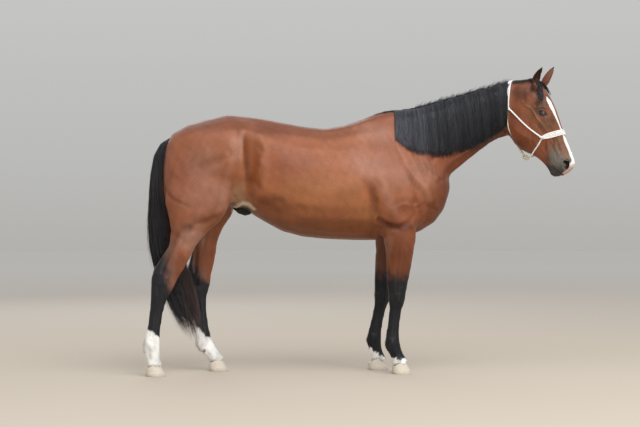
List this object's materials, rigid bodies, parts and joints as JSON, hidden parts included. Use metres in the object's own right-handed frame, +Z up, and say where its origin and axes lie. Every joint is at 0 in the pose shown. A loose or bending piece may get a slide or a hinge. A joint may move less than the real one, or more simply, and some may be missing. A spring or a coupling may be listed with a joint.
{
  "type": "horse",
  "caption": "Life-size standing bay horse with a rope halter, head turned a little to its right, black mane and tail, for display on a level floor.",
  "frame": {"origin": "on the floor, at the middle of the whole horse's box", "axes": "+X towards the head, +Y towards the horse's left side, +Z up"},
  "size_m": [2.6738, 0.634, 1.9234],
  "materials": {
    "coat": "short glossy bay coat over hide, satin",
    "black_points": "short black coat of the lower legs, satin",
    "white_socks": "short white coat of the feet, matt",
    "dark_skin": "bare dark skin, satin",
    "long_hair": "long black hair with a soft sheen",
    "hoof": "pale hoof horn with fine growth rings",
    "eye": "wet dark brown eye",
    "halter_rope": "off-white laid rope"
  },
  "bodies": {
    "root": {"ear_left": "coat", "ear_right": "coat", "eye_left": "eye", "eye_right": "eye", "fore_cannon_left": "black_points", "fore_cannon_right": "black_points", "fore_pastern_left": "white_socks", "fore_pastern_right": "white_socks", "forearm_left": "coat", "forearm_right": "coat", "forelock_left": "long_hair", "forelock_right": "long_hair", "gaskin_left": "coat", "gaskin_right": "coat", "halter_cheek_left": "halter_rope", "halter_cheek_right": "halter_rope", "halter_crown": "halter_rope", "halter_jaw_left": "halter_rope", "halter_jaw_right": "halter_rope", "halter_knot": "halter_rope", "halter_noseband": "halter_rope", "halter_throat_left": "halter_rope", "halter_throat_right": "halter_rope", "head": "coat", "hind_cannon_left": "black_points", "hind_cannon_right": "black_points", "hind_pastern_left": "white_socks", "hind_pastern_right": "white_socks", "hoof_fore_left": "hoof", "hoof_fore_right": "hoof", "hoof_hind_left": "hoof", "hoof_hind_right": "hoof", "mane": "long_hair", "neck": "coat", "sheath": "dark_skin", "tail": "long_hair", "trunk": "coat"}
  },
  "joints": []
}
